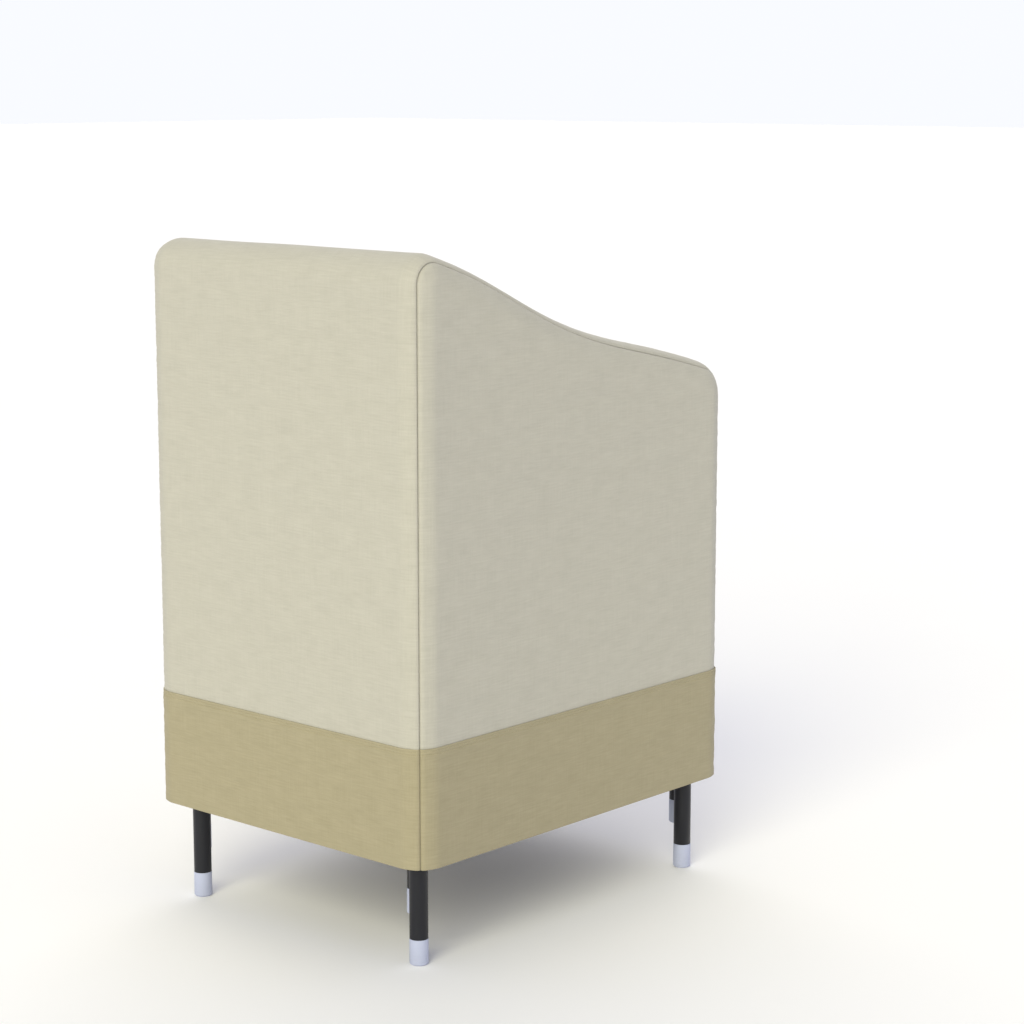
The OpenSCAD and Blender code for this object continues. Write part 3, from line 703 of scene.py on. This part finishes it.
WEBBING_LIFT = 0.5 * MM
TACK_ROWS = (5 * MM, 9 * MM, 13 * MM)
TACK_STITCH = 1.7 * MM
TACK_THREAD = 0.4 * MM
webbing_black = black_webbing("black_webbing")
thread_black = sewing_thread("black_thread", "4A4A50", "26262A")
for side, word in ((-1, "left"), (1, "right")):
    low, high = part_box(f"webbing_{word}")
    inner, outer = (high[0], low[0]) if side < 0 else (low[0], high[0])
    along = np.linspace(0, 1, 97)[None, :]
    x = outer + (inner - outer) * along
    lift = WEBBING_LIFT * np.sin(np.pi * along) ** 2 * waves(x, 0 * x, 70 * MM, 1.0, 5, 71 + side)
    thick, wide = (high[1] - low[1]) / 2, (high[2] - low[2]) / 2
    angle = np.linspace(0, 2 * np.pi, 25)[:, None]
    round_y = thick * squared(np.sin(angle), 0.7)
    round_z = wide * squared(np.cos(angle), 0.25)
    points = np.stack([x + 0 * angle, (low[1] + high[1]) / 2 + round_y - np.abs(lift) * 0.8,
                       (low[2] + high[2]) / 2 + round_z + 0 * x], axis=-1)
    ends = points[:, [0, -1]].mean(axis=0, keepdims=True) + 0 * points[:, [0, -1]]
    points = np.concatenate([ends[:, :1], points, ends[:, 1:]], axis=1)
    reach = np.concatenate([x[:, :1], x, x[:, -1:]], axis=1)
    strap = grid_mesh(f"webbing_strap_{word}", points,
                      np.stack([reach + 0 * angle, wide * np.cos(angle) + 0 * reach], axis=-1),
                      webbing_black, flip=side > 0, weld=True)
    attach(strap, "cover")
    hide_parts(f"webbing_{word}")
    face_y = low[1] - 0.1 * MM
    level = (low[2] + high[2]) / 2 + np.linspace(-9 * MM, 9 * MM, 10)
    starts = np.concatenate([
        np.stack([0 * level + outer - side * row, 0 * level + face_y, level - 0.8 * MM], axis=1)
        for row in TACK_ROWS])
    bar_tack = spindles(f"webbing_tack_{word}", starts, starts + [0, 0, TACK_STITCH],
                        np.tile([0.0, -1.0, 0.0], (len(starts), 1)), TACK_THREAD, thread_black)
    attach(bar_tack, "cover")
finish_cad("webbing_keepers", moulded_black("black_keeper", "17171A", "232327", 0.55, 0.6 * MM))
buckle_acetal = moulded_black("black_acetal", "131316", "222226", 0.38, 0.5 * MM)
finish_cad("buckle_socket", buckle_acetal)
finish_cad("buckle_plug", buckle_acetal)


# ---- Chairs: the tube frames ----
# Steel tube, 31 mm for the legs, posts and arms and thinner for the rails, bent and MIG-welded,
# then powder coated satin black. Each front leg bends back into an arm that ends free.
LEG_R = 15.5 * MM
WALL = 1.5 * MM
ARM_BEND = 90 * MM
RAIL_R = 12 * MM
SLING_R = 11 * MM
SEAT_TILT = math.radians(3)
RECLINE = math.radians(19.5)
SLING_X = 192 * MM
SEAT_RUN = 461.13 * MM
SEAT_BEND = 80 * MM
BEAD = 1.9 * MM
CHAIRS = ("lower", "upper")


def powder_coat(name, dark, light):
    """Polyester powder coat, baked on: an even satin skin with the faint orange peel of melted
    powder, its cells about 3 mm across, and slightly dulled patches where it has been handled."""
    made, tree = new_material(name)
    place = node(tree, "ShaderNodeTexCoord")
    peel = node(tree, "ShaderNodeTexNoise", {"Vector": (place, "Object")}, {
        "Scale": 1 / (3 * MM), "Detail": 2.0, "Roughness": 0.4})
    patch = node(tree, "ShaderNodeTexNoise", {"Vector": (place, "Object")}, {
        "Scale": 1 / 0.05, "Detail": 4.0, "Roughness": 0.6})
    gloss = node(tree, "ShaderNodeMapRange", {"Value": (patch, "Fac")}, {
        "From Min": 0.3, "From Max": 0.7, "To Min": 0.36, "To Max": 0.46})
    end_material(tree, (patch, "Fac"), dark, light, (peel, "Fac"), 0.12, 0.2 * MM, {
        "IOR": 1.5, "Specular IOR Level": 0.42}, gloss=(gloss, "Result"))
    return made


def bent_line(start, steps):
    """A line in a plane of constant X, from start: each step is a straight length, then a bend of
    a radius and a turn. Headings are angles above +Y. Gives its points and their headings."""
    y, z, heading = start
    points = [np.array([[y, z, heading]])]
    for length, radius, turn in steps:
        count = max(2, int(length / (60 * MM)))
        t = np.linspace(0, 1, count + 1)[1:] * length
        points.append(np.stack([y + t * math.cos(heading), z + t * math.sin(heading),
                                heading + 0 * t], axis=1))
        y, z = points[-1][-1, :2]
        if turn:
            sign = math.copysign(1, turn)
            centre = (y - sign * radius * math.sin(heading), z + sign * radius * math.cos(heading))
            b = heading + np.linspace(0, 1, 29)[1:] * turn
            points.append(np.stack([centre[0] + sign * radius * np.sin(b),
                                    centre[1] - sign * radius * np.cos(b), b], axis=1))
            y, z, heading = points[-1][-1]
    return np.concatenate(points)


def plugged_tube(name, x, line, radius, material):
    """A round tube swept along a line in a plane of constant X: a ring of 40 points at each place,
    a rounded lip at each end, and a shallow recess closed by a flat insert."""
    bore, lip, recess = radius - WALL, 0.4 * MM, 2.5 * MM
    ends = [(recess, 0.0), (recess, bore), (lip, bore), (0.0, bore + lip),
            (0.0, radius - lip), (lip, radius)]
    first, last = line[0], line[-1]

    def shifted(place, distance):
        return [place[0] + distance * math.cos(place[2]), place[1] + distance * math.sin(place[2]),
                place[2]]

    places = np.array([shifted(first, d) for d, _ in ends] + line[1:-1].tolist()
                      + [shifted(last, -d) for d, _ in ends[::-1]])
    radii = np.array([r for _, r in ends] + [radius] * (len(line) - 2)
                     + [r for _, r in ends[::-1]])[:, None]
    t = np.linspace(0, 2 * np.pi, 41)[None, :]
    y, z, heading = places[:, :1], places[:, 1:2], places[:, 2:]
    points = np.stack([x + radii * np.cos(t), y - radii * np.sin(t) * np.sin(heading),
                       z + radii * np.sin(t) * np.cos(heading)], axis=-1)
    run = np.cumsum(np.concatenate([[0], np.hypot(*np.diff(places[:, :2], axis=0).T)]))[:, None]
    return grid_mesh(name, points, np.stack([radius * t + 0 * run, run + 0 * t], axis=-1),
                     material, flip=True, weld=True)


def weld_beads(name, joints, material):
    """Fillet welds where a rail meets a tube: the curve in which the rail's cylinder cuts the
    tube's, carried round by a small bead whose size ripples as each drop of weld cools. A joint
    is the point on the tube's axis, the rail's direction, and the two radii."""
    centre = np.array([j[0] for j in joints])[:, None, None]
    along = np.array([j[1] for j in joints], float)[:, None, None]
    up = np.array([0.0, 0.0, 1.0])
    beside = np.cross(along, up)
    tube = np.array([j[2] for j in joints])[:, None, None, None]
    rail = np.array([j[3] for j in joints])[:, None, None, None]
    t = np.linspace(0, 2 * np.pi, 61)[None, :-1, None, None]
    s = np.linspace(0, 2 * np.pi, 8, endpoint=False)[None, None, :, None]
    ray = np.cos(t) * up + np.sin(t) * beside
    spine = centre + rail * ray + along * np.sqrt(tube ** 2 - (rail * np.sin(t)) ** 2)
    bead = BEAD * (1 + 0.14 * np.sin(20 * t) + 0.05 * np.sin(7 * t))
    points = spine + bead * (np.cos(s) * ray + np.sin(s) * along)
    count, rounds, sides = points.shape[:3]
    first = (np.arange(count) * rounds * sides)[:, None, None]
    i, k = np.arange(rounds)[None, :, None], np.arange(sides)[None, None, :]
    i2, k2 = (i + 1) % rounds, (k + 1) % sides
    quads = np.stack([first + i * sides + k, first + i2 * sides + k, first + i2 * sides + k2,
                      first + i * sides + k2], axis=-1).reshape(-1, 4)
    return smooth_object(name, points, quads.tolist(), material)


black_powder = powder_coat("satin_black_powder_coat", "0C0D14", "13141D")
rail_powder = powder_coat("satin_dark_powder_coat", "16161B", "202026")
sling_lines = {}
for chair in CHAIRS:
    body = f"{chair}_chair"
    low_leg, high_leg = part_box(f"{chair}_front_leg_arm_left")
    low_post, high_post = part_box(f"{chair}_back_posts")
    leg_y, post_y = low_leg[1] + LEG_R, high_post[1] - LEG_R
    middle_x = (low_post[0] + high_post[0]) / 2
    leg_x = (high_post[0] - low_post[0]) / 2 - LEG_R
    rail_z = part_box(f"{chair}_seat_frame")[1][2] - RAIL_R
    for side, word in ((-1, "left"), (1, "right")):
        foot, top = low_leg[2], high_leg[2] - LEG_R
        line = bent_line((leg_y, foot, math.pi / 2), [
            (top - ARM_BEND - foot, ARM_BEND, -math.pi / 2),
            (high_leg[1] - leg_y - ARM_BEND, 0, 0)])
        leg = plugged_tube(f"{chair}_leg_and_arm_{word}", middle_x + side * leg_x, line, LEG_R,
                           black_powder)
        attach(leg, body)
        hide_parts(f"{chair}_front_leg_arm_{word}")
        start_y = leg_y - RAIL_R
        start_z = rail_z + RAIL_R + SLING_R + RAIL_R * math.tan(SEAT_TILT)
        turn = math.pi / 2 - RECLINE + SEAT_TILT
        bend_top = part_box(f"{chair}_sling_rail_{word}")[1][2]
        seat_line = bent_line((start_y, start_z, -SEAT_TILT), [(SEAT_RUN, SEAT_BEND, turn)])
        rest = (bend_top - SLING_R * math.sin(RECLINE) - seat_line[-1, 1]) / math.cos(RECLINE)
        line = bent_line((start_y, start_z, -SEAT_TILT), [
            (SEAT_RUN, SEAT_BEND, turn), (rest, 0, 0)])
        sling_lines[chair] = (middle_x, line)
        rail = plugged_tube(f"{chair}_bent_sling_rail_{word}", middle_x + side * SLING_X, line,
                            SLING_R, rail_powder)
        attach(rail, body)
        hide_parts(f"{chair}_sling_rail_{word}")
    back_rail_z = sum(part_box(f"{chair}_back_rail")[k][2] for k in (0, 1)) / 2
    foot_low, foot_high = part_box(f"{chair}_footrest")
    foot_z, foot_r = (foot_low[2] + foot_high[2]) / 2, (foot_high[2] - foot_low[2]) / 2
    joints = []
    for side in (-1, 1):
        x = middle_x + side * leg_x
        joints += [((x, leg_y, rail_z), (-side, 0, 0), LEG_R, RAIL_R),
                   ((x, leg_y, rail_z), (0, 1, 0), LEG_R, RAIL_R),
                   ((x, post_y, rail_z), (0, -1, 0), LEG_R, RAIL_R),
                   ((x, leg_y, foot_z), (-side, 0, 0), LEG_R, foot_r),
                   ((x, post_y, back_rail_z), (-side, 0, 0), LEG_R, RAIL_R)]
    beads = weld_beads(f"{chair}_weld_beads", joints, black_powder)
    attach(beads, body)
    for part in ("back_posts", "seat_frame", "back_rail", "footrest"):
        finish_cad(f"{chair}_{part}", black_powder)


# ---- Chairs: the slings ----
# One sheet of open-woven, PVC-coated polyester yarn, held along both sides in the sling rails and
# pulled tight, so that it dips only a little between them. Its two ends are hemmed.
SLING_CLOTH = 1.0 * MM
SLING_DIP = 5 * MM
SLING_HEM = 24 * MM
HEM_PROUD = 0.5 * MM
RIPPLE = 0.25 * MM


def sling_mesh_cloth(name):
    """PVC-coated polyester mesh: thick round yarns woven two by two, drawn 4 mm apart, which is
    twice the real spacing, with a slight plastic shine on each yarn. Its colour darkens from the
    yarns into the gaps between them: painted shade, where the open weave shows shadow through."""
    made, tree = new_material(name)
    place = node(tree, "ShaderNodeUVMap", uv_map="cloth")
    weave = crossed_bands(tree, place, 4 * MM, 0.25)
    fleck = node(tree, "ShaderNodeTexNoise", {"Vector": (place, "UV")}, {
        "Scale": 1 / (6 * MM), "Detail": 3.0})
    tone = node(tree, "ShaderNodeMath", {0: (weave, "Value"), 1: (fleck, "Fac")},
                operation="MULTIPLY")
    # Painted shade: the colour runs from the yarns' grey down to near black in the gaps of the
    # weave.
    shade = node(tree, "ShaderNodeMapRange", {"Value": (tone, "Value")}, {
        "From Min": 0.0, "From Max": 0.55})
    end_material(tree, (shade, "Result"), "1E1E22", "6E6E74", (weave, "Value"), 0.7, 0.5 * MM, {
        "Roughness": 0.45, "Specular IOR Level": 0.5})
    return made


sling_cloth = sling_mesh_cloth("pvc_coated_sling_mesh")
for chair in CHAIRS:
    middle_x, line = sling_lines[chair]
    run = np.concatenate([[0], np.cumsum(np.hypot(*np.diff(line[:, :2], axis=0).T))])
    length = run[-1]
    s = np.concatenate([np.linspace(0, SLING_HEM, 9), np.linspace(SLING_HEM, length - SLING_HEM,
                        180)[1:-1], np.linspace(length - SLING_HEM, length, 9)])[:, None]
    y, z, heading = (np.interp(s, run, line[:, k]) for k in range(3))
    half = SLING_X - 0.55 * SLING_R  # its edge lies within the rail
    x = np.linspace(half, -half, 61)[None, :]
    held = np.sin(np.pi * np.clip(s / length, 0, 1)) ** 0.5
    dip = SLING_DIP * held * (1 - (x / half) ** 2) + RIPPLE * waves(x, s, 0.3, 0.2, 8, 91)
    near_end = np.minimum(s, length - s)
    lift = HEM_PROUD * soft_step(near_end - SLING_HEM, 0.6 * MM) - dip
    points = np.stack([middle_x + x + 0 * s, y - lift * np.sin(heading),
                       z + lift * np.cos(heading)], axis=-1)
    sling = grid_mesh(f"{chair}_woven_sling", points, np.stack([x + 0 * s, s + 0 * x], axis=-1),
                      sling_cloth, SLING_CLOTH, flip=True)
    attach(sling, f"{chair}_chair")
    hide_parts(f"{chair}_sling")


# ---- Chairs: the small moulded parts ----
# Arm pads snap over the arm tubes. Pale nylon glides plug into the feet, and black ones close the
# posts and arms. Rubber stops and pads keep stacked chairs apart.
PAD_W = 37 * MM
PAD_H = 11 * MM
PAD_SKIRT = 2 * MM
PAD_END = 16 * MM
PAD_GAP = 0.1 * MM
PAD_CROWN = 1.5 * MM
PAD_SQUARENESS = 3.4


def pale_nylon(name):
    """Moulded nylon, pale with a lavender cast: smooth and half matt, with scuffs and a little
    grey dirt that thicken towards the floor."""
    made, tree = new_material(name)
    place = node(tree, "ShaderNodeTexCoord")
    scuff_place = node(tree, "ShaderNodeMapping", {"Vector": (place, "Object")}, {
        "Scale": (1 / 0.012, 1 / 0.012, 1 / 0.0025)})
    scuff = node(tree, "ShaderNodeTexNoise", {"Vector": (scuff_place, "Vector")}, {
        "Scale": 1.0, "Detail": 4.0, "Roughness": 0.65})
    parts = node(tree, "ShaderNodeSeparateXYZ", {0: (place, "Object")})
    near_floor = node(tree, "ShaderNodeMapRange", {"Value": (parts, "Z")}, {
        "From Min": 0.0, "From Max": 0.035, "To Min": 0.40, "To Max": 0.05})
    dirt = node(tree, "ShaderNodeMath", {0: (scuff, "Fac"), 1: (near_floor, "Result")},
                operation="MULTIPLY")
    end_material(tree, (dirt, "Value"), "B5BBD4", "83869A", (scuff, "Fac"), 0.15, 0.2 * MM, {
        "Roughness": 0.42, "IOR": 1.53})
    return made


def arm_pad(name, x, y0, y1, z, material):
    """A crowned C-section pad along the arm. Its outside is a superellipse, which is a rounded
    rectangle, with a crowned top. It runs into the inside along both lower edges, in the last 6%
    of its girth, and thins to a quarter at both ends. The inside fits round the tube."""
    k = np.linspace(-1, 1, 49)[None, :]
    bore = LEG_R + PAD_GAP
    inner_angle = k * math.acos(PAD_SKIRT / bore)
    inner_x, inner_z = bore * np.sin(inner_angle), bore * np.cos(inner_angle)
    angle = k * math.radians(84)
    box_x, box_z, power = PAD_W / 2, LEG_R + PAD_H, PAD_SQUARENESS
    size = (np.abs(np.sin(angle) / box_x) ** power + np.abs(np.cos(angle) / box_z) ** power)
    outer_x = np.sin(angle) * size ** (-1 / power)
    outer_z = np.cos(angle) * size ** (-1 / power) - PAD_CROWN * (outer_x / box_x) ** 2
    edge = np.clip((np.abs(k) - 0.94) / 0.06, 0, 1)
    outer_x = outer_x * (1 - edge) + inner_x * edge
    outer_z = outer_z * (1 - edge) + inner_z * edge
    near = PAD_END * (1 - np.cos(np.linspace(0, np.pi / 2, 12)))
    y = np.concatenate([y0 + near, np.linspace(y0 + PAD_END, y1 - PAD_END, 26)[1:-1],
                        y1 - near[::-1]])[:, None]
    from_end = np.clip(np.minimum(y - y0, y1 - y) / PAD_END, 0, 1)
    full = 0.25 + 0.75 * np.sqrt(np.clip(1 - (1 - from_end) ** 2, 0, 1))
    section_x = inner_x + (outer_x - inner_x) * full
    section_z = inner_z + (outer_z - inner_z) * full
    outer = np.stack([x + section_x, y + 0 * k, z + section_z], axis=-1)
    inner = np.stack([x + inner_x + 0 * y, y + 0 * k, z + inner_z + 0 * y], axis=-1)
    points = np.concatenate([outer, inner[::-1], outer[:1]])
    uv = np.stack([20 * MM * k + 0 * points[..., 0], points[..., 1]], axis=-1)
    return grid_mesh(name, points, uv, material, weld=True)


pad_plastic = moulded_black("black_moulded_pad", "1E1E21", "2A2A2F", 0.55, 0.8 * MM)
plug_plastic = moulded_black("black_moulded_plug", "17171A", "232328", 0.45, 0.5 * MM)
stop_rubber = moulded_black("black_rubber", "1B1B1D", "29292C", 0.75, 0.7 * MM)
glide_nylon = pale_nylon("pale_nylon_glide")
for chair in CHAIRS:
    low_pad, high_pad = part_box(f"{chair}_arm_pads")
    arm_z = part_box(f"{chair}_front_leg_arm_left")[1][2] - LEG_R
    for side, x in (("left", low_pad[0] + PAD_W / 2), ("right", high_pad[0] - PAD_W / 2)):
        pad = arm_pad(f"{chair}_arm_pad_{side}", x, low_pad[1], high_pad[1], arm_z, pad_plastic)
        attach(pad, f"{chair}_chair")
        if side == "left":
            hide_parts(f"{chair}_arm_pads")
    for part, material in (("foot_caps", glide_nylon), ("tube_plugs", plug_plastic),
                           ("stack_stops", stop_rubber), ("stack_pads", stop_rubber)):
        finish_cad(f"{chair}_{part}", material)
